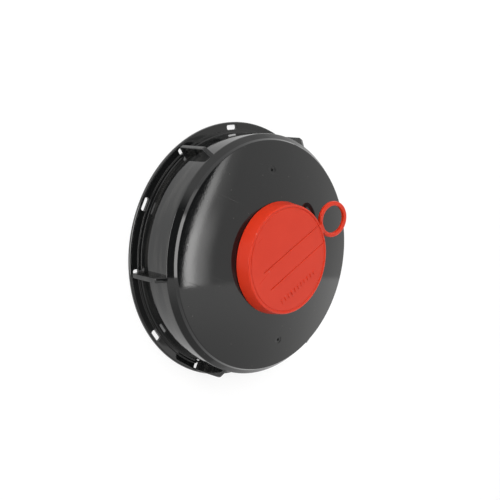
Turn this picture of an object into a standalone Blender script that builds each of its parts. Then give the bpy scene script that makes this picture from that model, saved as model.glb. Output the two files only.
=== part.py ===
"""Screw lid for a 150 mm tank neck, lying flat with its axis on +Z.

The lid is a black moulding with a slotted flange, six grip ribs and a 2 inch bung in the middle.
A red seal cap covers the bung: pulling its ring tears a strip across the cap, and the cap lifts off.
The origin is the middle of the flange's back face, the side that looks at the tank.
"""
import bpy
import bmesh
from math import cos, pi, radians, sin, tau
from mathutils import Matrix, Vector

MM = 0.001
GAP = 0.3 * MM            # play between pieces that touch

# Lid moulding
FLANGE_RADIUS = 93 * MM
FLANGE_THICKNESS = 2.3 * MM
FLANGE_EDGE = 1.4 * MM     # height of the rounding on the flange's rim
STEP_RADIUS = 87.4 * MM   # low ring where the skirt leaves the flange
STEP_HEIGHT = 3.6 * MM
SKIRT_RADIUS = 85.1 * MM  # at the skirt's upper edge
SKIRT_DRAFT = 0.5 * MM    # the skirt is this much wider at its foot
SKIRT_HEIGHT = 30.2 * MM
DOME_RADIUS = 80.3 * MM   # edge of the dome, above the sloping shoulder
DOME_FOOT = 36.1 * MM     # height of that edge
DOME_CURVE = 320 * MM     # radius of the dome's crown
WALL = 3 * MM
RIB_COUNT = 6
FIRST_RIB_ANGLE = radians(3.8)
RIB_THICKNESS = 3.2 * MM
RIB_RADIUS = 91.9 * MM
RIB_DRAFT = 1.2 * MM      # the rib's free edge leans in by this much
RIB_HEIGHT = 26.5 * MM    # where the rib's corner is cut off towards the skirt
SLOT_CORNER = 1.2 * MM
OPEN_SLOT_RADIUS = 89.4 * MM      # open slots are midway between two ribs
OPEN_SLOT_WIDTH = 3.3 * MM
OPEN_SLOT_LENGTH = 9.1 * MM
BRIDGED_SLOT_RADIUS = 88.7 * MM   # bridged slots are beside a rib and run under it
BRIDGED_SLOT_WIDTH = 4.2 * MM
BRIDGED_SLOT_LENGTH = 5.2 * MM
BRIDGED_SLOT_SHIFT = 1 * MM       # from the rib's middle to the slot's middle
LID_SEGMENTS = 60

# Tank thread inside the skirt, and the seal above it
TANK_THREAD_ROOT = 82.1 * MM
TANK_THREAD_CREST = 77.7 * MM
TANK_THREAD_PITCH = 7 * MM
TANK_THREAD_TURNS = 2.25
SEAT_HEIGHT = 33 * MM
SEAT_OUTER = 79.6 * MM
SEAT_INNER = 73 * MM
SEAL_THICKNESS = 3.8 * MM

# Bung neck in the middle of the lid
NECK_TOP = 51.8 * MM
NECK_BOTTOM = 28 * MM
NECK_RADIUS = 34.6 * MM
NECK_BEAD = 35.8 * MM
RECESS_RADIUS = 33.2 * MM
RECESS_FLOOR = 45.5 * MM
BUNG_THREAD_ROOT = 28.8 * MM
BUNG_THREAD_CREST = 27.2 * MM
BUNG_THREAD_PITCH = 4 * MM

# Bung
BUNG_TOP = 51.3 * MM
BUNG_BOTTOM = 30.5 * MM
BUNG_CORE = 26.6 * MM
BUNG_CREST = 28.4 * MM
BUNG_CUP_RADIUS = 23.6 * MM
BUNG_GASKET_THICKNESS = 1.6 * MM
LUG_COUNT = 4
NECK_SEGMENTS = 40

# Seal cap, tear strip and ring
CAP_TOP = 54.4 * MM
CAP_BOTTOM = 44.2 * MM
CAP_TOP_RADIUS = 37.4 * MM
CAP_FOOT_RADIUS = 39.3 * MM
CAP_WALL = 1.2 * MM
CAP_SEGMENTS = 60
STRIP_ANGLE = radians(27)     # direction in which the strip runs to the rim
STRIP_WIDTH = 13.9 * MM
STRIP_OFFSET = -1.5 * MM      # strip's middle line, measured to the left of the cap's centre
STRIP_ROOT = -24.5 * MM       # end of the score lines, behind the cap's centre
SCORE_WIDTH = 0.4 * MM
RING_RADIUS = 13.15 * MM
RING_BAND = 3.2 * MM
RING_THICKNESS = 2.8 * MM
RING_TILT = radians(8)
RING_DISTANCE = 51.3 * MM
RING_OFFSET = 0.8 * MM
RING_HINGE = 38.1 * MM        # distance of the ring's hinge line from the cap's centre
RING_HINGE_HEIGHT = 52.9 * MM
RING_TAB_WIDTH = 8 * MM


def clear_scene():
    for thing in list(bpy.data.objects):
        bpy.data.objects.remove(thing, do_unlink=True)


def new_collection(name):
    group = bpy.data.collections.new(name)
    bpy.context.scene.collection.children.link(group)
    return group


def plastic(name, colour, roughness):
    material = bpy.data.materials.new(name)
    material.use_nodes = True
    shader = material.node_tree.nodes["Principled BSDF"]
    shader.inputs["Base Color"].default_value = (*colour, 1)
    shader.inputs["Roughness"].default_value = roughness
    shader.inputs["Metallic"].default_value = 0
    return material


def add_mesh(name, mesh, group, material=None):
    thing = bpy.data.objects.new(name, mesh)
    group.objects.link(thing)
    if material:
        mesh.materials.append(material)
    return thing


def add_guide(name, mesh):
    """A shape that only cuts or joins another one."""
    guide = add_mesh(name, mesh, guides)
    guide.hide_render = True
    guide.display_type = "WIRE"
    return guide


def smooth(thing):
    thing.data.shade_smooth()
    thing.data.set_sharp_from_angle(angle=radians(35))


def move_origin(thing, pivot):
    """Put the object's origin on its hinge line and leave its shape where it is."""
    thing.data.transform(Matrix.Translation(-pivot))
    thing.location = pivot


def along_strip(along, across, height):
    """A point given by its distance along the strip from the cap's centre, and across to the left."""
    return Matrix.Rotation(STRIP_ANGLE, 4, "Z") @ Vector((along, across, height))


def profile_mesh(name, outline):
    """A closed loop of edges in the XZ plane, running down the outer side first."""
    count = len(outline)
    edges = [(index, (index + 1) % count) for index in range(count)]
    mesh = bpy.data.meshes.new(name)
    mesh.from_pydata([(radius, 0, height) for radius, height in outline], edges, [])
    return mesh


def turn(thing, segments):
    """Turn the object's profile once round the Z axis."""
    screw = thing.modifiers.new("turned", "SCREW")
    screw.steps = segments
    screw.render_steps = segments
    screw.use_merge_vertices = True
    screw.merge_threshold = 0.00001
    screw.use_smooth_shade = False


def turned_mesh(name, outline, segments):
    """The turned profile as a plain mesh, ready to cut and join."""
    draft = add_mesh(name + "_draft", profile_mesh(name, outline), guides)
    turn(draft, segments)
    return baked(draft, name)


def baked(draft, name):
    """Read the draft's evaluated shape as a welded mesh, and remove the draft."""
    bpy.context.view_layer.update()
    graph = bpy.context.evaluated_depsgraph_get()
    mesh = bpy.data.meshes.new_from_object(draft.evaluated_get(graph))
    mesh.transform(draft.matrix_world)
    mesh.name = name
    shape = bmesh.new()
    shape.from_mesh(mesh)
    bmesh.ops.remove_doubles(shape, verts=shape.verts, dist=0.00001)
    shape.to_mesh(mesh)
    shape.free()
    bpy.data.objects.remove(draft, do_unlink=True)
    return mesh


def outline_slab(name, outline, thickness, place):
    """A flat outline given thickness, then put in place by a matrix."""
    curve = bpy.data.curves.new(name + "_outline", "CURVE")
    curve.dimensions = "2D"
    curve.fill_mode = "BOTH"
    curve.extrude = thickness / 2
    spline = curve.splines.new("POLY")
    spline.points.add(len(outline) - 1)
    for point, (across, along) in zip(spline.points, outline):
        point.co = (across, along, 0, 1)
    spline.use_cyclic_u = True
    draft = bpy.data.objects.new(name + "_draft", curve)
    guides.objects.link(draft)
    draft.matrix_world = place
    return baked(draft, name)


def merged_mesh(name, meshes):
    """Several separate bodies in one mesh."""
    shape = bmesh.new()
    for mesh in meshes:
        shape.from_mesh(mesh)
    result = bpy.data.meshes.new(name)
    shape.to_mesh(result)
    shape.free()
    return result


def combine(thing, operation, guide):
    boolean = thing.modifiers.new(operation.lower() + "_" + guide.name, "BOOLEAN")
    boolean.operation = operation
    boolean.object = guide
    boolean.solver = "EXACT"


def thread_mesh(name, root, crest, root_half, crest_half, pitch, start, turns, per_turn):
    """A right-hand helical ridge that fades out at both ends.

    root lies inside the wall that carries the ridge, and crest is its free edge.
    """
    shape = bmesh.new()
    steps = round(turns * per_turn)
    fade = per_turn / 8
    sections = []
    for step in range(steps + 1):
        angle = tau * step / per_turn
        height = start + pitch * step / per_turn
        swell = min(1, step / fade, (steps - step) / fade)
        tip = root + (crest - root) * (0.12 + 0.88 * swell)
        corners = [(root, -root_half), (tip, -crest_half), (tip, crest_half), (root, root_half)]
        ring = []
        for radius, rise in corners:
            ring.append(shape.verts.new((radius * cos(angle), radius * sin(angle), height + rise)))
        sections.append(ring)
    for before, after in zip(sections, sections[1:]):
        for side in range(4):
            following = (side + 1) % 4
            shape.faces.new((before[side], before[following], after[following], after[side]))
    shape.faces.new(sections[0])
    shape.faces.new(sections[-1])
    bmesh.ops.recalc_face_normals(shape, faces=shape.faces)
    mesh = bpy.data.meshes.new(name)
    shape.to_mesh(mesh)
    shape.free()
    return mesh


def dome_height(radius):
    """Height of the dome's outer surface, which is slightly crowned from the neck to its edge."""
    return DOME_FOOT + (DOME_RADIUS ** 2 - radius ** 2) / (2 * DOME_CURVE)


def lid_outline():
    """Section of the lid moulding: down its outside, then up its inside."""
    neck = [
        (RECESS_RADIUS, NECK_TOP),
        (NECK_RADIUS, NECK_TOP),
        (NECK_RADIUS, NECK_TOP - 1 * MM),
        (NECK_BEAD, NECK_TOP - 1.8 * MM),
        (NECK_BEAD, NECK_TOP - 2.6 * MM),
        (NECK_RADIUS, NECK_TOP - 3.4 * MM),
    ]
    dome_steps = 8
    run = DOME_RADIUS - NECK_RADIUS
    dome_radii = [NECK_RADIUS + run * step / dome_steps for step in range(dome_steps + 1)]
    dome = [(radius, dome_height(radius)) for radius in dome_radii]
    foot_radius = SKIRT_RADIUS + SKIRT_DRAFT
    skirt = [
        (DOME_RADIUS + 1.1 * MM, DOME_FOOT - 2.1 * MM),
        (SKIRT_RADIUS - 0.4 * MM, SKIRT_HEIGHT + 0.5 * MM),
        (SKIRT_RADIUS, SKIRT_HEIGHT - 0.1 * MM),
        (foot_radius, STEP_HEIGHT + 0.8 * MM),
        (foot_radius + 0.6 * MM, STEP_HEIGHT),
        (STEP_RADIUS, STEP_HEIGHT),
        (STEP_RADIUS + 0.2 * MM, FLANGE_THICKNESS),
        (FLANGE_RADIUS - 1.3 * MM, FLANGE_THICKNESS),
        (FLANGE_RADIUS - 0.3 * MM, FLANGE_THICKNESS - FLANGE_EDGE / 2),
        (FLANGE_RADIUS, FLANGE_THICKNESS - FLANGE_EDGE),
        (FLANGE_RADIUS, 0),
    ]
    inside = [
        (TANK_THREAD_ROOT, 0),
        (TANK_THREAD_ROOT, SKIRT_HEIGHT - 2 * MM),
        (SEAT_OUTER, SEAT_HEIGHT - 2 * MM),
        (SEAT_OUTER, SEAT_HEIGHT),
        (SEAT_INNER, SEAT_HEIGHT),
        (SEAT_INNER, SEAT_HEIGHT - 1.8 * MM),
        (SEAT_INNER - 1.8 * MM, SEAT_HEIGHT - 1.8 * MM),
        (SEAT_INNER - 2 * MM, dome_height(SEAT_INNER - 2 * MM) - WALL),
        *[(radius, dome_height(radius) - WALL) for radius in (60 * MM, 49 * MM, 38 * MM)],
        (NECK_RADIUS - 1.8 * MM, dome_height(NECK_RADIUS) - WALL - 1 * MM),
        (NECK_RADIUS - 2.6 * MM, NECK_BOTTOM),
        (BUNG_THREAD_ROOT, NECK_BOTTOM),
        (BUNG_THREAD_ROOT, RECESS_FLOOR),
        (RECESS_RADIUS, RECESS_FLOOR),
    ]
    return neck + dome + skirt + inside


def slot_mesh(angle, radius, width, length, shift):
    """A slot through the flange with rounded corners, its length along the rim.

    shift moves the slot along the rim from the place that the angle gives.
    """
    shape = bmesh.new()
    corners = 12
    turned = Matrix.Rotation(pi / corners, 4, "Z")
    bmesh.ops.create_cone(shape, cap_ends=True, segments=corners, radius1=SLOT_CORNER, radius2=SLOT_CORNER,
                          depth=4 * FLANGE_THICKNESS, matrix=turned)
    spread_x = width / 2 - SLOT_CORNER
    spread_y = length / 2 - SLOT_CORNER
    for vert in shape.verts:
        vert.co.x += spread_x if vert.co.x > 0 else -spread_x
        vert.co.y += spread_y if vert.co.y > 0 else -spread_y
    place = Matrix.Rotation(angle, 4, "Z") @ Matrix.Translation((radius, shift, 0))
    shape.transform(place)
    mesh = bpy.data.meshes.new("slot")
    shape.to_mesh(mesh)
    shape.free()
    return mesh


def rib_mesh(angle):
    """A grip rib on the flange, bridging a slot, with its cut corner running to the skirt's edge."""
    inner = SKIRT_RADIUS - 1.8 * MM
    foot = FLANGE_THICKNESS - 0.3 * MM
    outline = [
        (inner, foot),
        (RIB_RADIUS, foot),
        (RIB_RADIUS - RIB_DRAFT, RIB_HEIGHT - 0.8 * MM),
        (RIB_RADIUS - RIB_DRAFT - 0.7 * MM, RIB_HEIGHT + 0.3 * MM),
        (inner, SKIRT_HEIGHT + 1.6 * MM),
    ]
    upright = Matrix.Rotation(pi / 2, 4, "X")
    return outline_slab("rib", outline, RIB_THICKNESS, Matrix.Rotation(angle, 4, "Z") @ upright)


def make_lid(material):
    lid = add_mesh("lid_shell", turned_mesh("lid_shell", lid_outline(), LID_SEGMENTS), parts, material)
    rib_angles = [FIRST_RIB_ANGLE + tau * index / RIB_COUNT for index in range(RIB_COUNT)]
    slots = []
    for index, angle in enumerate(rib_angles):
        side = 1 if index < RIB_COUNT / 2 else -1
        slots.append(slot_mesh(angle, BRIDGED_SLOT_RADIUS, BRIDGED_SLOT_WIDTH, BRIDGED_SLOT_LENGTH,
                               side * BRIDGED_SLOT_SHIFT))
        slots.append(slot_mesh(angle + pi / RIB_COUNT, OPEN_SLOT_RADIUS, OPEN_SLOT_WIDTH, OPEN_SLOT_LENGTH, 0))
    combine(lid, "DIFFERENCE", add_guide("slot_cutter", merged_mesh("slots", slots)))
    ribs = merged_mesh("ribs", [rib_mesh(angle) for angle in rib_angles])
    combine(lid, "UNION", add_guide("rib_guide", ribs))
    tank_thread = thread_mesh("tank_thread", TANK_THREAD_ROOT + 0.5 * MM, TANK_THREAD_CREST, 2.2 * MM,
                              0.8 * MM, TANK_THREAD_PITCH, 6 * MM, TANK_THREAD_TURNS, LID_SEGMENTS)
    combine(lid, "UNION", add_guide("tank_thread_guide", tank_thread))
    bung_thread = thread_mesh("neck_thread", BUNG_THREAD_ROOT + 0.5 * MM, BUNG_THREAD_CREST, 1 * MM,
                              0.45 * MM, BUNG_THREAD_PITCH, 30.5 * MM, 3, NECK_SEGMENTS)
    combine(lid, "UNION", add_guide("neck_thread_guide", bung_thread))
    smooth(lid)


def make_ring_seal(name, inner, outer, bottom, top, chamfer, segments, material):
    """A flat seal with its four edges broken."""
    outline = [
        (inner + chamfer, top),
        (outer - chamfer, top),
        (outer, top - chamfer),
        (outer, bottom + chamfer),
        (outer - chamfer, bottom),
        (inner + chamfer, bottom),
        (inner, bottom + chamfer),
        (inner, top - chamfer),
    ]
    seal = add_mesh(name, profile_mesh(name, outline), parts, material)
    turn(seal, segments)
    smooth(seal)


def bung_outline():
    """Half section of the bung, an open cup with a flange at its mouth."""
    flange_bottom = RECESS_FLOOR + BUNG_GASKET_THICKNESS + 2 * GAP
    flange_radius = RECESS_RADIUS - 0.35 * MM
    floor = BUNG_BOTTOM + 2.4 * MM
    return [
        (BUNG_CUP_RADIUS + 0.5 * MM, BUNG_TOP),
        (flange_radius - 0.5 * MM, BUNG_TOP),
        (flange_radius, BUNG_TOP - 0.5 * MM),
        (flange_radius, flange_bottom),
        (BUNG_CORE, flange_bottom),
        (BUNG_CORE, BUNG_BOTTOM + 0.8 * MM),
        (BUNG_CORE - 0.8 * MM, BUNG_BOTTOM),
        (0, BUNG_BOTTOM),
        (0, floor),
        (BUNG_CUP_RADIUS - 1 * MM, floor),
        (BUNG_CUP_RADIUS, floor + 1 * MM),
        (BUNG_CUP_RADIUS, BUNG_TOP - 0.5 * MM),
    ]


def lug_mesh(angle):
    """An upright lug on the cup's wall that a bung wrench pushes against."""
    shape = bmesh.new()
    depth = 6 * MM
    width = 4 * MM
    bottom = BUNG_BOTTOM + 1.5 * MM
    top = BUNG_TOP - 3 * MM
    size = Matrix.Diagonal((depth, width, top - bottom, 1))
    centre = Matrix.Translation((BUNG_CUP_RADIUS - depth / 2 + 1 * MM, 0, (top + bottom) / 2))
    bmesh.ops.create_cube(shape, size=1, matrix=Matrix.Rotation(angle, 4, "Z") @ centre @ size)
    mesh = bpy.data.meshes.new("lug")
    shape.to_mesh(mesh)
    shape.free()
    return mesh


def make_bung(material):
    mesh = turned_mesh("bung_plug", bung_outline(), NECK_SEGMENTS)
    bung = add_mesh("bung_plug", mesh, parts, material)
    lugs = merged_mesh("lugs", [lug_mesh(tau * index / LUG_COUNT) for index in range(LUG_COUNT)])
    combine(bung, "UNION", add_guide("lug_guide", lugs))
    thread = thread_mesh("bung_thread", BUNG_CORE - 0.5 * MM, BUNG_CREST, 1 * MM, 0.45 * MM,
                         BUNG_THREAD_PITCH, 32.5 * MM, 3, NECK_SEGMENTS)
    combine(bung, "UNION", add_guide("bung_thread_guide", thread))
    smooth(bung)


def cap_outline(hooked):
    """Half section of the seal cap. Its skirt has a small inner hook, which the strip goes without."""
    hook = [
        (CAP_FOOT_RADIUS - CAP_WALL, CAP_BOTTOM),
        (NECK_BEAD + 0.3 * MM, CAP_BOTTOM + 1 * MM),
        (NECK_BEAD + 0.3 * MM, CAP_BOTTOM + 2 * MM),
        (CAP_FOOT_RADIUS - CAP_WALL - 0.5 * MM, CAP_BOTTOM + 3 * MM),
    ]
    plain = [(CAP_FOOT_RADIUS - CAP_WALL, CAP_BOTTOM)]
    return [
        (0, CAP_TOP),
        (CAP_TOP_RADIUS - 0.9 * MM, CAP_TOP),
        (CAP_TOP_RADIUS - 0.3 * MM, CAP_TOP - 0.25 * MM),
        (CAP_TOP_RADIUS, CAP_TOP - 0.8 * MM),
        (CAP_FOOT_RADIUS, CAP_BOTTOM + 0.4 * MM),
        (CAP_FOOT_RADIUS - 0.3 * MM, CAP_BOTTOM),
        *(hook if hooked else plain),
        (CAP_TOP_RADIUS - CAP_WALL, CAP_TOP - CAP_WALL - 0.6 * MM),
        (CAP_TOP_RADIUS - CAP_WALL - 0.6 * MM, CAP_TOP - CAP_WALL),
        (0, CAP_TOP - CAP_WALL),
    ]


def strip_block(name, side_play, root_play):
    """A block as wide as the strip, from the end of the score lines out past the rim."""
    shape = bmesh.new()
    length = 80 * MM
    height = 30 * MM
    width = STRIP_WIDTH + 2 * side_play
    size = Matrix.Diagonal((length, width, height, 1))
    start = STRIP_ROOT - root_play
    centre = Matrix.Translation((start + length / 2, STRIP_OFFSET, CAP_TOP))
    bmesh.ops.create_cube(shape, size=1, matrix=Matrix.Rotation(STRIP_ANGLE, 4, "Z") @ centre @ size)
    mesh = bpy.data.meshes.new(name)
    shape.to_mesh(mesh)
    shape.free()
    return add_guide(name, mesh)


def make_cap(material):
    mesh = turned_mesh("seal_cap", cap_outline(hooked=True), CAP_SEGMENTS)
    cap = add_mesh("seal_cap", mesh, parts, material)
    combine(cap, "DIFFERENCE", strip_block("strip_cutter", SCORE_WIDTH / 2, SCORE_WIDTH / 2))
    smooth(cap)


def make_strip(material):
    mesh = turned_mesh("tear_strip", cap_outline(hooked=False), CAP_SEGMENTS)
    strip = add_mesh("tear_strip", mesh, parts, material)
    combine(strip, "INTERSECT", strip_block("strip_keeper", -SCORE_WIDTH / 2, -SCORE_WIDTH / 2))
    move_origin(strip, along_strip(STRIP_ROOT + SCORE_WIDTH / 2, STRIP_OFFSET, CAP_TOP))
    smooth(strip)


def make_pull_ring(material):
    """A round-edged ring, joined by a short tab that ends just clear of the strip's rim."""
    edge = 0.8 * MM
    half = RING_THICKNESS / 2
    inner = RING_RADIUS - RING_BAND
    outline = [
        (inner + edge, half),
        (RING_RADIUS - edge, half),
        (RING_RADIUS, half - edge),
        (RING_RADIUS, edge - half),
        (RING_RADIUS - edge, -half),
        (inner + edge, -half),
        (inner, edge - half),
        (inner, half - edge),
    ]
    mesh = turned_mesh("pull_ring", outline, 40)
    tilt = Matrix.Rotation(-RING_TILT, 4, "Y")
    place = Matrix.Translation((RING_DISTANCE, RING_OFFSET, CAP_TOP - half))
    around = Matrix.Rotation(STRIP_ANGLE, 4, "Z")
    mesh.transform(around @ place @ tilt)
    ring = add_mesh("pull_ring", mesh, parts, material)
    tab_start = CAP_TOP_RADIUS + 1 * MM
    tab_end = RING_DISTANCE - RING_RADIUS + 1.6 * MM
    tab = bmesh.new()
    size = Matrix.Diagonal((tab_end - tab_start, RING_TAB_WIDTH, 1 * MM, 1))
    height = CAP_TOP - half - 1.8 * MM
    centre = Matrix.Translation(((tab_start + tab_end) / 2, 0, height))
    bmesh.ops.create_cube(tab, size=1, matrix=around @ centre @ size)
    tab_mesh = bpy.data.meshes.new("ring_tab")
    tab.to_mesh(tab_mesh)
    tab.free()
    combine(ring, "UNION", add_guide("ring_tab_guide", tab_mesh))
    move_origin(ring, along_strip(RING_HINGE, RING_OFFSET, RING_HINGE_HEIGHT))
    smooth(ring)


def main():
    black = plastic("black_polyethylene", (0.018, 0.019, 0.020), 0.3)
    red = plastic("red_polypropylene", (0.62, 0.045, 0.02), 0.4)
    rubber = plastic("dark_rubber", (0.02, 0.02, 0.02), 0.7)
    make_lid(black)
    make_ring_seal("lid_gasket", SEAT_INNER + GAP, SEAT_OUTER - GAP, SEAT_HEIGHT - GAP - SEAL_THICKNESS,
                   SEAT_HEIGHT - GAP, 0.5 * MM, LID_SEGMENTS, rubber)
    make_ring_seal("bung_gasket", BUNG_THREAD_ROOT + 0.4 * MM, RECESS_RADIUS - 0.4 * MM,
                   RECESS_FLOOR + GAP, RECESS_FLOOR + GAP + BUNG_GASKET_THICKNESS, 0.3 * MM,
                   NECK_SEGMENTS, rubber)
    make_bung(black)
    make_cap(red)
    make_strip(red)
    make_pull_ring(red)


clear_scene()
parts = new_collection("tank_lid")
guides = new_collection("cutters")
main()
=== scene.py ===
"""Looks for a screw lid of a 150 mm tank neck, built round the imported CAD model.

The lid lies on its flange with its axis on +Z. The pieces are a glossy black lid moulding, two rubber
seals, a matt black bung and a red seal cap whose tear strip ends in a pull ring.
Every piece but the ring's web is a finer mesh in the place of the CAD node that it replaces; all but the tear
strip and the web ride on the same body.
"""
from math import cos, pi, radians, sin, sqrt, tan, tau

import bmesh
import bpy
from mathutils import Matrix, Vector


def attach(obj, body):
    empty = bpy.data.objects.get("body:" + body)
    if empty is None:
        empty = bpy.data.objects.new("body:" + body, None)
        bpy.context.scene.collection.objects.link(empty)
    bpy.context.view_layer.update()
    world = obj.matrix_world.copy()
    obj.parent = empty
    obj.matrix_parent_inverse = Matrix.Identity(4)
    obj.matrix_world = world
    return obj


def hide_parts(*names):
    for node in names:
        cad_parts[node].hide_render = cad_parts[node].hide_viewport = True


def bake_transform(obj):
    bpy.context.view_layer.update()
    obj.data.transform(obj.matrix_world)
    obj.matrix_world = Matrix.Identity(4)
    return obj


MM = 0.001

# Lid moulding, the same sizes as the CAD part
FLANGE_RADIUS = 93 * MM
FLANGE_THICKNESS = 2.3 * MM
STEP_RADIUS = 87.4 * MM
STEP_HEIGHT = 3.6 * MM
SKIRT_RADIUS = 85.1 * MM
SKIRT_HEIGHT = 30.2 * MM
DOME_RADIUS = 80.3 * MM
DOME_FOOT = 36.1 * MM
DOME_CURVE = 320 * MM
WALL = 3 * MM
RIB_COUNT = 6
FIRST_RIB_ANGLE = radians(3.8)
RIB_THICKNESS = 3.2 * MM
RIB_RADIUS = 91.9 * MM
RIB_DRAFT = 1.2 * MM
RIB_HEIGHT = 26.5 * MM
SLOT_CORNER = 1.2 * MM
OPEN_SLOT_RADIUS = 89.4 * MM
OPEN_SLOT_WIDTH = 3.3 * MM
OPEN_SLOT_LENGTH = 9.1 * MM
BRIDGED_SLOT_RADIUS = 88.7 * MM
BRIDGED_SLOT_WIDTH = 4.2 * MM
BRIDGED_SLOT_LENGTH = 5.2 * MM
BRIDGED_SLOT_SHIFT = 1 * MM
LID_SEGMENTS = 240
TANK_THREAD_ROOT = 82.1 * MM
TANK_THREAD_CREST = 77.7 * MM
TANK_THREAD_PITCH = 7 * MM
TANK_THREAD_START = 6 * MM
TANK_THREAD_TURNS = 2.25
SEAT_HEIGHT = 33 * MM
SEAT_OUTER = 79.6 * MM
SEAT_INNER = 73 * MM
SEAL_THICKNESS = 3.8 * MM
GATE_RADIUS = 60.5 * MM
GATE_ANGLES = (radians(93), radians(273.5))

# Neck and bung
NECK_TOP = 51.8 * MM
NECK_BOTTOM = 28 * MM
NECK_RADIUS = 34.6 * MM
NECK_BEAD = 35.8 * MM
RECESS_RADIUS = 33.2 * MM
RECESS_FLOOR = 45.5 * MM
BUNG_THREAD_ROOT = 28.8 * MM
BUNG_THREAD_CREST = 27.2 * MM
BUNG_THREAD_PITCH = 4 * MM
BUNG_THREAD_TURNS = 3
BUNG_TOP = 51.3 * MM
BUNG_BOTTOM = 30.5 * MM
BUNG_CORE = 26.6 * MM
BUNG_CREST = 28.4 * MM
BUNG_CUP_RADIUS = 23.6 * MM
BUNG_GASKET_THICKNESS = 1.6 * MM
BUNG_SEGMENTS = 160
LUG_COUNT = 4
LUG_DEPTH = 5 * MM
LUG_WIDTH = 4 * MM

# Seal cap, tear strip and pull ring
CAP_TOP = 54.4 * MM
CAP_BOTTOM = 44.2 * MM
CAP_TOP_RADIUS = 37.4 * MM
CAP_FOOT_RADIUS = 39.3 * MM
CAP_WALL = 1.2 * MM
CAP_SEGMENTS = 180
STRIP_ANGLE = radians(27)
STRIP_WIDTH = 13.9 * MM
STRIP_OFFSET = -1.5 * MM
STRIP_ROOT = -24.5 * MM
SCORE_WIDTH = 0.9 * MM
SCORE_DEPTH = 0.5 * MM
SCORE_GAP = 0.06 * MM
RING_RADIUS = 13.15 * MM
RING_BAND = 3.2 * MM
RING_THICKNESS = 2.8 * MM
RING_TILT = radians(8)
RING_DISTANCE = 51.3 * MM
RING_OFFSET = 0.8 * MM
RING_HINGE = 38.1 * MM
RING_HINGE_HEIGHT = 52.9 * MM
DASH_COUNT = 11
DASH_PITCH = 3.5 * MM
FIRST_DASH = -18.5 * MM
DASH_OFFSET = -22.2 * MM

FILL_POWER = 14           # watts
GAP = 0.3 * MM            # play between a seal and its seat


# ---------------------------------------------------------------- meshes

def mesh_of(shape, name):
    """The bmesh as a mesh with its normals facing out."""
    bmesh.ops.recalc_face_normals(shape, faces=shape.faces)
    mesh = bpy.data.meshes.new(name)
    shape.to_mesh(mesh)
    shape.free()
    return mesh


def rounded(corners, steps=4):
    """A closed outline of (radius, height, fillet) corners, with each fillet as an arc."""
    points = []
    for index, (radius, height, fillet) in enumerate(corners):
        here = Vector((radius, height))
        before = Vector(corners[index - 1][:2]) - here
        after = Vector(corners[(index + 1) % len(corners)][:2]) - here
        corner = before.angle(after)
        if fillet == 0 or corner > radians(176):
            points.append(here)
            continue
        reach = min(fillet / tan(corner / 2), 0.45 * before.length, 0.45 * after.length)
        bend = reach * tan(corner / 2)
        centre = here + (before.normalized() + after.normalized()).normalized() * bend / sin(corner / 2)
        first = here + before.normalized() * reach - centre
        last = here + after.normalized() * reach - centre
        sweep = pi - corner
        for step in range(steps + 1):
            share = step / steps
            mixed = first * sin((1 - share) * sweep) + last * sin(share * sweep)
            points.append(centre + mixed / sin(sweep))
    return points


def spaced(points, longest):
    """The closed outline with its long runs split, so that faces stay small."""
    result = []
    for index, point in enumerate(points):
        following = points[(index + 1) % len(points)]
        count = max(1, round((following - point).length / longest))
        on_axis = point.x < 1e-7 and following.x < 1e-7
        for step in range(1 if on_axis else count):
            result.append(point.lerp(following, step / count))
    return result


def turned(name, corners, segments, longest=2.5 * MM):
    """A closed outline turned once round the Z axis."""
    outline = spaced(rounded(corners), longest)
    shape = bmesh.new()
    columns = []
    for point in outline:
        if point.x < 1e-7:
            columns.append([shape.verts.new((0, 0, point.y))] * segments)
            continue
        column = []
        for step in range(segments):
            angle = tau * step / segments
            column.append(shape.verts.new((point.x * cos(angle), point.x * sin(angle), point.y)))
        columns.append(column)
    for index, column in enumerate(columns):
        following = columns[(index + 1) % len(columns)]
        for step in range(segments):
            after = (step + 1) % segments
            loop = [column[step], column[after], following[after], following[step]]
            corners_left = list(dict.fromkeys(loop))
            if len(corners_left) > 2:
                shape.faces.new(corners_left)
    return mesh_of(shape, name)


def merged(name, meshes):
    """Several separate closed meshes as one."""
    shape = bmesh.new()
    for mesh in meshes:
        shape.from_mesh(mesh)
    return mesh_of(shape, name)


def combined(mesh, operation, tool):
    """The exact Boolean of two closed meshes."""
    things = []
    for data in (mesh, tool):
        thing = bpy.data.objects.new(data.name + "_draft", data)
        bpy.context.scene.collection.objects.link(thing)
        things.append(thing)
    cut = things[0].modifiers.new("cut", "BOOLEAN")
    cut.operation = operation
    cut.object = things[1]
    cut.solver = "EXACT"
    bpy.context.view_layer.update()
    graph = bpy.context.evaluated_depsgraph_get()
    result = bpy.data.meshes.new_from_object(things[0].evaluated_get(graph))
    result.name = mesh.name
    for thing in things:
        bpy.data.objects.remove(thing, do_unlink=True)
    return result


def slab(name, outline, thickness, edge, place):
    """A flat outline given thickness and round edges, then put in place by a matrix."""
    shape = bmesh.new()
    face = shape.faces.new([shape.verts.new((x, y, -thickness / 2)) for x, y in outline])
    raised = bmesh.ops.extrude_face_region(shape, geom=[face])
    for item in raised["geom"]:
        if isinstance(item, bmesh.types.BMVert):
            item.co.z += thickness
    bmesh.ops.bevel(shape, geom=list(shape.edges), offset=edge, segments=3, profile=0.5,
                    affect="EDGES", clamp_overlap=True)
    shape.transform(place)
    return mesh_of(shape, name)


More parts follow.
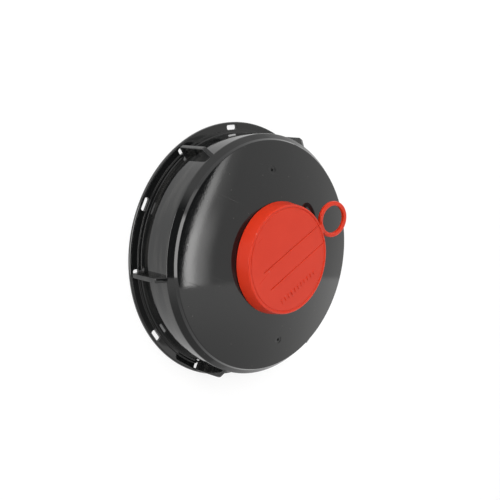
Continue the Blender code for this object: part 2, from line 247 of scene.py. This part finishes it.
def stadium(name, width, length, corner, levels, place):
    """A plug with rounded corners. levels holds (height, growth) pairs from bottom to top."""
    shape = bmesh.new()
    per_corner = 6
    rings = []
    for height, growth in levels:
        ring = []
        for quarter in range(4):
            side_x = 1 if quarter in (0, 3) else -1
            side_y = 1 if quarter in (0, 1) else -1
            for step in range(per_corner + 1):
                angle = (quarter + step / per_corner) * pi / 2
                x = side_x * (width / 2 - corner) + (corner + growth) * cos(angle)
                y = side_y * (length / 2 - corner) + (corner + growth) * sin(angle)
                ring.append(shape.verts.new((x, y, height)))
        rings.append(ring)
    for lower, upper in zip(rings, rings[1:]):
        for step in range(len(lower)):
            after = (step + 1) % len(lower)
            shape.faces.new((lower[step], lower[after], upper[after], upper[step]))
    shape.faces.new(rings[0])
    shape.faces.new(rings[-1])
    shape.transform(place)
    return mesh_of(shape, name)


def thread(name, root, crest, root_half, crest_half, pitch, start, turns):
    """A right-hand helical ridge that fades out at both ends."""
    per_turn = 120
    steps = round(turns * per_turn)
    shape = bmesh.new()
    sections = []
    for step in range(steps + 1):
        angle = tau * step / per_turn
        height = start + pitch * step / per_turn
        swell = min(1, 8 * step / per_turn, 8 * (steps - step) / per_turn)
        tip = root + (crest - root) * (0.12 + 0.88 * swell)
        section = []
        for radius, rise in ((root, -root_half), (tip, -crest_half), (tip, crest_half), (root, root_half)):
            section.append(shape.verts.new((radius * cos(angle), radius * sin(angle), height + rise)))
        sections.append(section)
    for before, after in zip(sections, sections[1:]):
        for side in range(4):
            following = (side + 1) % 4
            shape.faces.new((before[side], before[following], after[following], after[side]))
    shape.faces.new(sections[0])
    shape.faces.new(sections[-1])
    return mesh_of(shape, name)


def show(mesh, material, body=None, nodes=()):
    """Put a finished mesh in the scene as a piece."""
    mesh.materials.clear()
    mesh.materials.append(material)
    mesh.shade_smooth()
    mesh.set_sharp_from_angle(angle=radians(34))
    piece = bpy.data.objects.new(mesh.name, mesh)
    bpy.context.scene.collection.objects.link(piece)
    weighted = piece.modifiers.new("even_normals", "WEIGHTED_NORMAL")
    weighted.keep_sharp = True
    weighted.weight = 60
    if body:
        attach(piece, body)
    if nodes:
        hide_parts(*nodes)
    return piece


# ---------------------------------------------------------------- lid

def dome_height(radius):
    """Height of the dome's outer surface, which is slightly crowned from the neck to its edge."""
    return DOME_FOOT + (DOME_RADIUS ** 2 - radius ** 2) / (2 * DOME_CURVE)


def lid_corners():
    """Section of the lid moulding as (radius, height, fillet), down its outside and up its inside."""
    neck = [
        (RECESS_RADIUS, NECK_TOP, 0.4 * MM),
        (NECK_RADIUS, NECK_TOP, 0.4 * MM),
        (NECK_RADIUS, NECK_TOP - 1 * MM, 0.3 * MM),
        (NECK_BEAD, NECK_TOP - 1.8 * MM, 0.4 * MM),
        (NECK_BEAD, NECK_TOP - 2.6 * MM, 0.4 * MM),
        (NECK_RADIUS, NECK_TOP - 3.4 * MM, 0.3 * MM),
        (NECK_RADIUS, dome_height(NECK_RADIUS), 0.8 * MM),
    ]
    steps = 24
    run = DOME_RADIUS - NECK_RADIUS
    radii = [NECK_RADIUS + run * step / steps for step in range(1, steps)]
    dome = [(radius, dome_height(radius), 0) for radius in radii]
    under = [(radius, dome_height(radius) - WALL, 0) for radius in reversed(radii) if radius < 69 * MM]
    skirt = [
        (DOME_RADIUS, DOME_FOOT, 0.7 * MM),
        (DOME_RADIUS + 1.1 * MM, DOME_FOOT - 2.1 * MM, 0.5 * MM),
        (SKIRT_RADIUS - 0.3 * MM, SKIRT_HEIGHT + 0.4 * MM, 1.5 * MM),
        (SKIRT_RADIUS + 0.5 * MM, STEP_HEIGHT + 0.4 * MM, 0.8 * MM),
        (SKIRT_RADIUS + 1.1 * MM, STEP_HEIGHT, 0.4 * MM),
        (STEP_RADIUS, STEP_HEIGHT, 0.35 * MM),
        (STEP_RADIUS + 0.2 * MM, FLANGE_THICKNESS, 0.5 * MM),
        (FLANGE_RADIUS - 0.6 * MM, FLANGE_THICKNESS, 0.9 * MM),
        (FLANGE_RADIUS, FLANGE_THICKNESS - 1 * MM, 0.6 * MM),
        (FLANGE_RADIUS, 0, 0.25 * MM),
    ]
    inside = [
        (TANK_THREAD_ROOT, 0, 0.6 * MM),
        (TANK_THREAD_ROOT, SKIRT_HEIGHT - 2 * MM, 0.8 * MM),
        (SEAT_OUTER, SEAT_HEIGHT - 2 * MM, 0.5 * MM),
        (SEAT_OUTER, SEAT_HEIGHT, 0.3 * MM),
        (SEAT_INNER, SEAT_HEIGHT, 0.3 * MM),
        (SEAT_INNER, SEAT_HEIGHT - 1.8 * MM, 0.5 * MM),
        (SEAT_INNER - 1.8 * MM, SEAT_HEIGHT - 1.8 * MM, 0.5 * MM),
        (SEAT_INNER - 2 * MM, dome_height(SEAT_INNER - 2 * MM) - WALL, 0.8 * MM),
        *under,
        (NECK_RADIUS - 2.4 * MM, dome_height(NECK_RADIUS) - WALL - 1 * MM, 0.8 * MM),
        (NECK_RADIUS - 2.6 * MM, NECK_BOTTOM, 0.6 * MM),
        (BUNG_THREAD_ROOT, NECK_BOTTOM, 0.6 * MM),
        (BUNG_THREAD_ROOT, RECESS_FLOOR, 0.3 * MM),
        (RECESS_RADIUS, RECESS_FLOOR, 0.3 * MM),
    ]
    return neck + dome + skirt + inside


def slot_cutter(angle, radius, width, length, shift):
    """A plug for one flange slot, flared at the top so that the slot's edge is broken."""
    edge = 0.2 * MM
    levels = [
        (-2 * MM, 0),
        (FLANGE_THICKNESS - edge, 0),
        (FLANGE_THICKNESS + edge, 2 * edge),
        (2 * FLANGE_THICKNESS, 2 * edge),
    ]
    place = Matrix.Rotation(angle, 4, "Z") @ Matrix.Translation((radius, shift, 0))
    return stadium("slot", width, length, SLOT_CORNER, levels, place)


def rib(angle):
    """A grip rib with round edges and its corner cut off towards the skirt's edge."""
    inner = SKIRT_RADIUS - 1.8 * MM
    foot = FLANGE_THICKNESS - 0.3 * MM
    outline = [
        (inner, foot),
        (RIB_RADIUS, foot),
        (RIB_RADIUS - RIB_DRAFT, RIB_HEIGHT - 0.8 * MM),
        (RIB_RADIUS - RIB_DRAFT - 0.7 * MM, RIB_HEIGHT + 0.3 * MM),
        (inner, SKIRT_HEIGHT + 1.6 * MM),
    ]
    upright = Matrix.Rotation(pi / 2, 4, "X")
    place = Matrix.Rotation(angle, 4, "Z") @ upright
    return slab("rib", outline, RIB_THICKNESS, 0.55 * MM, place)


def gate_mark(angle):
    """A cutter for the shallow round mark that the mould's gate leaves, with a pinhole in it."""
    depth = 0.3 * MM
    corners = [
        (0, 2 * MM, 0),
        (0, -1.4 * MM, 0),
        (0.85 * MM, -1.4 * MM, 0.2 * MM),
        (0.95 * MM, -depth, 0.3 * MM),
        (2.6 * MM, -depth, 0.3 * MM),
        (3.1 * MM, 0.1 * MM, 0),
        (3.1 * MM, 2 * MM, 0),
    ]
    mesh = turned("gate_mark", corners, 32, 1 * MM)
    place = Matrix.Translation((GATE_RADIUS, 0, dome_height(GATE_RADIUS)))
    lean = Matrix.Rotation(GATE_RADIUS / DOME_CURVE, 4, "Y")
    mesh.transform(Matrix.Rotation(angle, 4, "Z") @ place @ lean)
    return mesh


def lid_mesh():
    """The turned moulding with its slots and gate marks cut, and its ribs and threads added."""
    lid = turned("lid_moulding", lid_corners(), LID_SEGMENTS)
    angles = [FIRST_RIB_ANGLE + tau * index / RIB_COUNT for index in range(RIB_COUNT)]
    cutters = [gate_mark(angle) for angle in GATE_ANGLES]
    for index, angle in enumerate(angles):
        side = 1 if index < RIB_COUNT / 2 else -1
        cutters.append(slot_cutter(angle, BRIDGED_SLOT_RADIUS, BRIDGED_SLOT_WIDTH, BRIDGED_SLOT_LENGTH,
                                   side * BRIDGED_SLOT_SHIFT))
        cutters.append(slot_cutter(angle + pi / RIB_COUNT, OPEN_SLOT_RADIUS, OPEN_SLOT_WIDTH,
                                   OPEN_SLOT_LENGTH, 0))
    lid = combined(lid, "DIFFERENCE", merged("cutters", cutters))
    lid = combined(lid, "UNION", merged("ribs", [rib(angle) for angle in angles]))
    tank_thread = thread("tank_thread", TANK_THREAD_ROOT + 0.5 * MM, TANK_THREAD_CREST, 2.2 * MM, 0.8 * MM,
                         TANK_THREAD_PITCH, TANK_THREAD_START, TANK_THREAD_TURNS)
    neck_thread = thread("neck_thread", BUNG_THREAD_ROOT + 0.5 * MM, BUNG_THREAD_CREST, 1 * MM, 0.45 * MM,
                         BUNG_THREAD_PITCH, BUNG_BOTTOM, BUNG_THREAD_TURNS)
    return combined(lid, "UNION", merged("threads", [tank_thread, neck_thread]))


def seal_mesh(name, inner, outer, bottom, top, fillet):
    """A flat ring with round edges."""
    corners = [(inner, top, fillet), (outer, top, fillet), (outer, bottom, fillet), (inner, bottom, fillet)]
    return turned(name, corners, LID_SEGMENTS)


# ---------------------------------------------------------------- bung

def bung_mesh():
    """An open cup with a flange at its mouth, four wrench lugs inside and a thread outside."""
    floor = BUNG_BOTTOM + 2.4 * MM
    flange_radius = RECESS_RADIUS - 0.35 * MM
    flange_bottom = RECESS_FLOOR + 2.2 * MM
    corners = [
        (BUNG_CUP_RADIUS, BUNG_TOP, 0.8 * MM),
        (flange_radius, BUNG_TOP, 0.6 * MM),
        (flange_radius, flange_bottom, 0.3 * MM),
        (BUNG_CORE, flange_bottom, 0.3 * MM),
        (BUNG_CORE, BUNG_BOTTOM, 0.8 * MM),
        (0, BUNG_BOTTOM, 0),
        (0, floor, 0),
        (BUNG_CUP_RADIUS, floor, 1 * MM),
    ]
    bung = turned("bung", corners, BUNG_SEGMENTS)
    lugs = []
    outline = [
        (BUNG_CUP_RADIUS - LUG_DEPTH, floor - 1 * MM),
        (BUNG_CUP_RADIUS + 1 * MM, floor - 1 * MM),
        (BUNG_CUP_RADIUS + 1 * MM, BUNG_TOP - 3 * MM),
        (BUNG_CUP_RADIUS - LUG_DEPTH, BUNG_TOP - 3 * MM),
    ]
    for index in range(LUG_COUNT):
        place = Matrix.Rotation(tau * index / LUG_COUNT, 4, "Z") @ Matrix.Rotation(pi / 2, 4, "X")
        lugs.append(slab("lug", outline, LUG_WIDTH, 0.5 * MM, place))
    bung = combined(bung, "UNION", merged("lugs", lugs))
    ridge = thread("bung_thread", BUNG_CORE - 0.5 * MM, BUNG_CREST, 1 * MM, 0.45 * MM, BUNG_THREAD_PITCH,
                   BUNG_BOTTOM + 2 * MM, BUNG_THREAD_TURNS)
    return combined(bung, "UNION", ridge)


# ---------------------------------------------------------------- seal cap, tear strip and pull ring

def along_strip(distance, left, height):
    """A place measured along the tear strip, to the left of the cap's centre, and up."""
    return Matrix.Rotation(STRIP_ANGLE, 3, "Z") @ Vector((distance, left, height))


def cap_corners(hooked):
    """Half section of the cap. Its skirt has a small inner hook, which the strip goes without."""
    hook = [
        (CAP_FOOT_RADIUS - CAP_WALL, CAP_BOTTOM, 0.3 * MM),
        (NECK_BEAD + 0.3 * MM, CAP_BOTTOM + 1 * MM, 0.3 * MM),
        (NECK_BEAD + 0.3 * MM, CAP_BOTTOM + 2 * MM, 0.3 * MM),
        (CAP_FOOT_RADIUS - CAP_WALL - 0.5 * MM, CAP_BOTTOM + 3 * MM, 0.4 * MM),
    ]
    plain = [(CAP_FOOT_RADIUS - CAP_WALL, CAP_BOTTOM, 0.3 * MM)]
    return [
        (0, CAP_TOP, 0),
        (CAP_TOP_RADIUS - 2.5 * MM, CAP_TOP, 0.2 * MM),
        (CAP_TOP_RADIUS - 2.1 * MM, CAP_TOP - 0.3 * MM, 0.2 * MM),
        (CAP_TOP_RADIUS - 1.7 * MM, CAP_TOP - 0.3 * MM, 0.2 * MM),
        (CAP_TOP_RADIUS - 1.3 * MM, CAP_TOP + 0.3 * MM, 0.3 * MM),
        (CAP_TOP_RADIUS, CAP_TOP + 0.3 * MM, 0.7 * MM),
        (CAP_FOOT_RADIUS, CAP_BOTTOM, 0.4 * MM),
        *(hook if hooked else plain),
        (CAP_TOP_RADIUS - CAP_WALL, CAP_TOP - CAP_WALL, 0.7 * MM),
        (0, CAP_TOP - CAP_WALL, 0),
    ]


def strip_block(name, play, groove):
    """A bar as wide as the strip that runs from its root out past the rim.

    play moves the side walls out below the groove, and groove moves them out at the cap's face.
    Both start from nothing at the root, where the strip stays joined to the cap.
    """
    stations = [(STRIP_ROOT, 0), (STRIP_ROOT + 0.3 * MM, 0), (STRIP_ROOT + 1.3 * MM, 1), (45 * MM, 1)]
    shape = bmesh.new()
    sections = []
    for distance, share in stations:
        low = STRIP_WIDTH / 2 + play * share
        high = STRIP_WIDTH / 2 + groove * share
        above = STRIP_WIDTH / 2 + groove * 2 * share
        corners = [
            (-low, CAP_BOTTOM - 5 * MM),
            (low, CAP_BOTTOM - 5 * MM),
            (low, CAP_TOP - SCORE_DEPTH),
            (high, CAP_TOP),
            (above, CAP_TOP + SCORE_DEPTH),
            (-above, CAP_TOP + SCORE_DEPTH),
            (-high, CAP_TOP),
            (-low, CAP_TOP - SCORE_DEPTH),
        ]
        section = [shape.verts.new(along_strip(distance, STRIP_OFFSET + left, up)) for left, up in corners]
        sections.append(section)
    for before, after in zip(sections, sections[1:]):
        for side in range(len(before)):
            following = (side + 1) % len(before)
            shape.faces.new((before[side], before[following], after[following], after[side]))
    shape.faces.new(sections[0])
    shape.faces.new(sections[-1])
    return mesh_of(shape, name)


def dash(distance):
    """A low raised bar on the cap's face."""
    levels = [
        (CAP_TOP - 0.3 * MM, 0.1 * MM),
        (CAP_TOP + 0.05 * MM, 0),
        (CAP_TOP + 0.4 * MM, -0.05 * MM),
        (CAP_TOP + 0.48 * MM, -0.2 * MM),
    ]
    place = Matrix.Rotation(STRIP_ANGLE, 4, "Z") @ Matrix.Translation((distance, DASH_OFFSET, 0))
    return stadium("dash", 1.3 * MM, 3.4 * MM, 0.5 * MM, levels, place)


def cap_mesh():
    """The cap without its strip, with tear lines along the opening and a row of dashes."""
    cap = turned("seal_cap_cover", cap_corners(hooked=True), CAP_SEGMENTS, 1.2 * MM)
    cap = combined(cap, "DIFFERENCE", strip_block("strip_cutter", SCORE_GAP / 2, SCORE_WIDTH / 2))
    dashes = [dash(FIRST_DASH + DASH_PITCH * index) for index in range(DASH_COUNT)]
    return combined(cap, "UNION", merged("dashes", dashes))


def strip_mesh():
    """The part of the cap between the tear lines, without the inner hook."""
    strip = turned("tear_strip_tongue", cap_corners(hooked=False), CAP_SEGMENTS, 1.2 * MM)
    keeper = strip_block("strip_keeper", -SCORE_GAP / 2, -SCORE_WIDTH / 2)
    return combined(strip, "INTERSECT", keeper)


def ring_mesh():
    """A pull ring with a flat front, a straight wall inside and rounder edges outside."""
    half = RING_THICKNESS / 2
    inner = RING_RADIUS - RING_BAND
    corners = [
        (inner, half, 0.6 * MM),
        (RING_RADIUS, half, 1 * MM),
        (RING_RADIUS, -half, 1 * MM),
        (inner, -half, 0.6 * MM),
    ]
    ring = turned("finger_ring", corners, 120, 0.8 * MM)
    place = Matrix.Translation((RING_DISTANCE, RING_OFFSET, CAP_TOP - half))
    tilt = Matrix.Rotation(-RING_TILT, 4, "Y")
    ring.transform(Matrix.Rotation(STRIP_ANGLE, 4, "Z") @ place @ tilt)
    return ring


def web_mesh():
    """The short web that joins the ring to the strip's rim, waisted in the middle."""
    shape = bmesh.new()
    start = CAP_TOP_RADIUS - 1.1 * MM
    end = RING_HINGE + 2.3 * MM
    steps = 14
    around = 20
    sections = []
    for step in range(steps + 1):
        share = step / steps
        waist = 1 - 0.28 * sin(pi * share)
        half_width = 5.2 * MM * waist
        half_height = (0.95 - 0.2 * sin(pi * share)) * MM
        section = []
        distance = start + (end - start) * share
        for side in range(around):
            angle = tau * side / around
            squareness = sqrt(max(abs(cos(angle)), abs(sin(angle))))
            left = RING_OFFSET + half_width * cos(angle) / squareness
            up = RING_HINGE_HEIGHT + half_height * sin(angle) / squareness
            section.append(shape.verts.new(along_strip(distance, left, up)))
        sections.append(section)
    for before, after in zip(sections, sections[1:]):
        for side in range(around):
            following = (side + 1) % around
            shape.faces.new((before[side], before[following], after[following], after[side]))
    shape.faces.new(sections[0])
    shape.faces.new(sections[-1])
    return mesh_of(shape, "ring_web")


# ---------------------------------------------------------------- materials

class Graph:
    """A node tree with short calls that add nodes and link them."""

    def __init__(self, tree):
        self.tree = tree

    def feed(self, socket, value):
        if isinstance(value, bpy.types.NodeSocket):
            self.tree.links.new(value, socket)
        else:
            socket.default_value = value

    def add(self, kind, settings, inputs):
        node = self.tree.nodes.new(kind)
        for name, value in settings.items():
            setattr(node, name, value)
        for name, value in inputs.items():
            self.feed(node.inputs[name], value)
        return node

    def sum(self, operation, first, second):
        return self.add("ShaderNodeMath", {"operation": operation}, {0: first, 1: second}).outputs[0]

    def split(self, vector):
        return self.add("ShaderNodeSeparateXYZ", {}, {0: vector}).outputs

    def remap(self, value, low, high, new_low, new_high):
        """low..high becomes new_low..new_high, held outside and eased between."""
        settings = {"interpolation_type": "SMOOTHSTEP"}
        inputs = {"Value": value, "From Min": low, "From Max": high, "To Min": new_low, "To Max": new_high}
        return self.add("ShaderNodeMapRange", settings, inputs).outputs["Result"]

    def noise(self, place, scale, detail, rough=0.5):
        inputs = {"Vector": place, "Scale": scale, "Detail": detail, "Roughness": rough}
        return self.add("ShaderNodeTexNoise", {}, inputs).outputs["Fac"]

    def between(self, share, first, second):
        """A colour between two others."""
        node = self.add("ShaderNodeMix", {"data_type": "RGBA"}, {})
        self.feed(node.inputs[0], share)
        self.feed(node.inputs[6], first)
        self.feed(node.inputs[7], second)
        return node.outputs[2]

    def stretched(self, place, scale):
        return self.add("ShaderNodeMapping", {}, {"Vector": place, "Scale": scale}).outputs[0]

    def bump(self, height, distance, strength, under=None):
        inputs = {"Height": height, "Distance": distance, "Strength": strength}
        if under:
            inputs["Normal"] = under
        return self.add("ShaderNodeBump", {}, inputs).outputs[0]


def plain_material(name):
    """A new material, its node graph, its shader and its place in the part's own frame."""
    material = bpy.data.materials.new(name)
    material.use_nodes = True
    graph = Graph(material.node_tree)
    shader = material.node_tree.nodes["Principled BSDF"]
    place = graph.add("ShaderNodeTexCoord", {}, {}).outputs["Object"]
    return material, graph, shader, place


def specks(graph, place, scale, size):
    """1 on scattered dust specks and 0 between them."""
    inputs = {"Vector": place, "Scale": scale, "Randomness": 1}
    cells = graph.add("ShaderNodeTexVoronoi", {"feature": "F1"}, inputs)
    dot = graph.remap(cells.outputs["Distance"], size, size * 1.6, 1, 0)
    chosen = graph.remap(graph.split(cells.outputs["Color"])[0], 0.9, 0.92, 0, 1)
    return graph.sum("MULTIPLY", dot, chosen)


def scratches(graph, place, turn):
    """1 on a few long hairline scratches, in the direction that turn gives."""
    inputs = {"Vector": place, "Rotation": (0, 0, turn)}
    turned_place = graph.add("ShaderNodeMapping", {}, inputs).outputs[0]
    lines = graph.noise(graph.stretched(turned_place, (9, 1400, 9)), 1, 1)
    patches = graph.noise(place, 30, 2)
    return graph.sum("MULTIPLY", graph.remap(lines, 0.7, 0.76, 0, 1), graph.remap(patches, 0.5, 0.62, 0, 1))


def black_polyethylene(name, gloss, texture):
    """Moulded black polyethylene, with scuffs that run round its upright walls.

    gloss is its lowest roughness, and texture the depth of its grain.
    """
    material, graph, shader, place = plain_material(name)
    smudges = graph.noise(place, 26, 5, 0.6)
    dust = specks(graph, place, 330, 0.1)
    hairlines = scratches(graph, place, radians(24))
    tone = graph.between(smudges, (0.0056, 0.0060, 0.0063, 1), (0.0078, 0.0082, 0.0083, 1))
    haze = graph.remap(smudges, 0.35, 0.72, gloss, gloss + 0.04)
    graph.feed(shader.inputs["Roughness"], graph.sum("ADD", haze, graph.sum("MULTIPLY", hairlines, 0.22)))
    x, y, z = graph.split(place)
    facing = graph.split(graph.add("ShaderNodeNewGeometry", {}, {}).outputs["Normal"])[2]
    upright = graph.remap(graph.sum("ABSOLUTE", facing, 0), 0.3, 0.6, 1, 0)
    around = graph.sum("MULTIPLY", graph.sum("ARCTAN2", y, x), 2.2)
    wall = graph.add("ShaderNodeCombineXYZ", {}, {0: around, 1: graph.sum("MULTIPLY", z, 260)}).outputs[0]
    streaks = graph.sum("MULTIPLY", graph.noise(wall, 1, 3), upright)
    scuffs = graph.sum("MULTIPLY", graph.remap(streaks, 0.42, 0.66, 0, 0.05), 1 / texture)
    pale = graph.sum("ADD", graph.sum("MULTIPLY", dust, 0.1), scuffs)
    graph.feed(shader.inputs["Base Color"], graph.between(pale, tone, (0.30, 0.29, 0.27, 1)))
    waves = graph.bump(graph.noise(place, 60, 2), 0.0001 * texture, 0.25)
    peel = graph.bump(graph.noise(place, 900, 3), 0.00002 * texture, 0.4, waves)
    drawn = graph.bump(streaks, 0.00006 * texture, 0.6, peel)
    scored = graph.bump(hairlines, -0.00002, 0.6, drawn)
    graph.feed(shader.inputs["Normal"], scored)
    shader.inputs["IOR"].default_value = 1.5
    return material


def red_polypropylene(name):
    """Satin red polypropylene with a fine spark-eroded grain and slightly uneven colour."""
    material, graph, shader, place = plain_material(name)
    clouds = graph.noise(place, 48, 4, 0.55)
    grain = graph.noise(place, 1500, 3, 0.6)
    dust = specks(graph, place, 260, 0.09)
    hairlines = scratches(graph, place, radians(-38))
    tone = graph.between(clouds, (0.53, 0.024, 0.0050, 1), (0.59, 0.031, 0.0080, 1))
    colour = graph.between(graph.sum("MULTIPLY", dust, 0.12), tone, (0.85, 0.74, 0.68, 1))
    graph.feed(shader.inputs["Base Color"], colour)
    satin = graph.remap(clouds, 0.3, 0.7, 0.28, 0.36)
    graph.feed(shader.inputs["Roughness"], graph.sum("ADD", satin, graph.sum("MULTIPLY", hairlines, -0.12)))
    flow = graph.bump(graph.noise(place, 110, 2), 0.0004, 0.25)
    fine = graph.bump(grain, 0.00006, 0.55, flow)
    graph.feed(shader.inputs["Normal"], graph.bump(hairlines, -0.00003, 0.5, fine))
    shader.inputs["IOR"].default_value = 1.49
    shader.inputs["Specular IOR Level"].default_value = 0.32
    return material


def black_rubber(name):
    """Moulded rubber with a matt face and a pale bloom."""
    material, graph, shader, place = plain_material(name)
    bloom = graph.remap(graph.noise(place, 60, 5, 0.65), 0.42, 0.75, 0, 1)
    colour = graph.between(bloom, (0.013, 0.013, 0.014, 1), (0.036, 0.036, 0.037, 1))
    graph.feed(shader.inputs["Base Color"], colour)
    graph.feed(shader.inputs["Roughness"], graph.remap(bloom, 0, 1, 0.55, 0.78))
    graph.feed(shader.inputs["Normal"], graph.bump(graph.noise(place, 1100, 4), 0.0001, 0.6))
    shader.inputs["IOR"].default_value = 1.52
    return material


# ---------------------------------------------------------------- studio

def standing(vector):
    """A direction for the lid stood on its rim (X right, Y away, Z up), in the part's frame."""
    return Vector((vector[0], vector[2], -vector[1]))


def make_world():
    """A white room with a pale table below.

    A strip light stands in front of the lid and a softbox at its left, with a dark gap between them.
    """
    world = bpy.data.worlds.new("studio")
    bpy.context.scene.world = world
    world.use_nodes = True
    graph = Graph(world.node_tree)
    x, y, z = graph.split(graph.add("ShaderNodeTexCoord", {}, {}).outputs["Generated"])
    side = graph.sum("ARCTAN2", x, z)
    raised = graph.sum("POWER", graph.sum("ADD", y, 0.2), 2)
    past = graph.sum("SUBTRACT", side, graph.sum("ADD", graph.sum("MULTIPLY", raised, 1.05), 0.168))
    lit = graph.remap(past, -0.008, 0.012, 0, 1)
    core = graph.remap(past, 0.03, 0.08, 3.7, 0)
    glow = graph.sum("MULTIPLY", graph.remap(past, 0.05, 0.18, 3.0, 0), graph.remap(y, -0.05, 0.15, 1, 0.2))
    strip = graph.sum("MULTIPLY", graph.sum("ADD", core, glow), graph.remap(y, 0.15, 0.5, 1, 0))
    right = graph.sum("MULTIPLY", lit, graph.sum("ADD", strip, 0.88))
    softbox = graph.sum("MULTIPLY", graph.remap(side, radians(-72), radians(-76), 0, 6.2),
                        graph.remap(y, 0.5, 0.6, 1, 0.2))
    ceiling = graph.sum("MULTIPLY", graph.remap(y, 0.5, 0.75, 0, 1), graph.sum("SUBTRACT", 1, lit))
    above = graph.sum("ADD", graph.sum("ADD", right, softbox), ceiling)
    table = graph.sum("ADD", graph.remap(y, -0.7, -0.27, 0.5, 1.06), graph.remap(past, -0.2, 0.0, 0, 0.3))
    wall = graph.remap(y, -0.283, -0.268, 0, 1)
    mixed = graph.add("ShaderNodeMix", {"data_type": "FLOAT"}, {0: wall, 2: table, 3: above}).outputs[0]
    background = world.node_tree.nodes["Background"]
    background.inputs["Color"].default_value = (1.0, 0.995, 0.985, 1)
    graph.feed(background.inputs["Strength"], mixed)


def make_fill():
    """A large soft lamp high in front that lifts the matt colours and leaves no mirror image."""
    data = bpy.data.lights.new("fill", "AREA")
    data.shape = "DISK"
    data.size = 1.1
    data.energy = FILL_POWER
    lamp = bpy.data.objects.new("fill", data)
    bpy.context.scene.collection.objects.link(lamp)
    place = standing(Vector((-0.35, -1.25, 0.75)))
    lamp.location = place
    lamp.rotation_mode = "QUATERNION"
    lamp.rotation_quaternion = place.to_track_quat("Z", "Y")
    lamp.visible_glossy = False


def make_floor():
    """A large pale floor under the lid, bright enough to stay white in soft light."""
    mesh = bpy.data.meshes.new("floor")
    reach = 9
    level = -0.05 * MM
    corners = [(-reach, -reach, level), (reach, -reach, level), (reach, reach, level), (-reach, reach, level)]
    mesh.from_pydata(corners, [], [(0, 1, 2, 3)])
    material, graph, shader, place = plain_material("pale_floor")
    tone = graph.between(graph.noise(place, 3, 2), (0.22, 0.22, 0.22, 1), (0.24, 0.24, 0.24, 1))
    graph.feed(shader.inputs["Base Color"], tone)
    shader.inputs["Roughness"].default_value = 0.9
    shader.inputs["Specular IOR Level"].default_value = 0
    shader.inputs["Emission Color"].default_value = (1, 1, 1, 1)
    shader.inputs["Emission Strength"].default_value = 0.79
    mesh.materials.append(material)
    floor = bpy.data.objects.new("floor", mesh)
    bpy.context.scene.collection.objects.link(floor)


def make_camera():
    """The viewpoint left of and slightly above the lid's axis, with the lid seen stood on its rim."""
    side = radians(42.47)
    height = radians(9.6345)
    distance = 481.16 * MM
    shift = 9.903 * MM
    forward = Vector((sin(side) * cos(height), cos(side) * cos(height), -sin(height)))
    right = Vector((cos(side), -sin(side), 0))
    up = right.cross(forward)
    data = bpy.data.cameras.new("camera")
    data.lens = 46.83
    data.sensor_width = 36
    camera = bpy.data.objects.new("camera", data)
    bpy.context.scene.collection.objects.link(camera)
    axes = Matrix((standing(right), standing(up), standing(-forward))).transposed().to_4x4()
    axes.translation = standing(right * shift - forward * distance)
    camera.matrix_world = axes
    bpy.context.scene.camera = camera


def build():
    """Make every piece, and tie each to its body but the tear strip and the ring's web, which stay on no
    body.
    """
    gloss_black = black_polyethylene("gloss_black_polyethylene", 0.035, 1)
    matt_black = black_polyethylene("matt_black_polyethylene", 0.36, 1.6)
    red = red_polypropylene("satin_red_polypropylene")
    rubber = black_rubber("black_rubber")
    show(lid_mesh(), gloss_black, "lid", ["lid_shell"])
    lid_seal = seal_mesh("lid_seal", SEAT_INNER + GAP, SEAT_OUTER - GAP,
                         SEAT_HEIGHT - GAP - SEAL_THICKNESS, SEAT_HEIGHT - GAP, 0.7 * MM)
    show(lid_seal, rubber, "lid", ["lid_gasket"])
    bung_seal = seal_mesh("bung_seal_ring", BUNG_THREAD_ROOT + 0.4 * MM, RECESS_RADIUS - 0.4 * MM,
                          RECESS_FLOOR + GAP, RECESS_FLOOR + GAP + BUNG_GASKET_THICKNESS, 0.4 * MM)
    show(bung_seal, rubber, "bung_seal", ["bung_gasket"])
    show(bung_mesh(), matt_black, "bung", ["bung_plug"])
    show(cap_mesh(), red, "cap", ["seal_cap"])
    strip = show(strip_mesh(), red, nodes=["tear_strip"])
    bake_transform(strip)
    show(ring_mesh(), red, "ring", ["pull_ring"])
    web = show(web_mesh(), red)
    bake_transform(web)


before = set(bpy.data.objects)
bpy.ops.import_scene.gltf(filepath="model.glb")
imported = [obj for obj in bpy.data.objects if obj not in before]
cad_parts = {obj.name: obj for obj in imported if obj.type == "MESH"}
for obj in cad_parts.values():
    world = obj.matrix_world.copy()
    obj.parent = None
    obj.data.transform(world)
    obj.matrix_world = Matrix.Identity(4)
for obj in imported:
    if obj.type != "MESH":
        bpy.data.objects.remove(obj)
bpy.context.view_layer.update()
bpy.context.scene.view_settings.view_transform = "Standard"
make_world()
make_fill()
make_floor()
make_camera()
build()
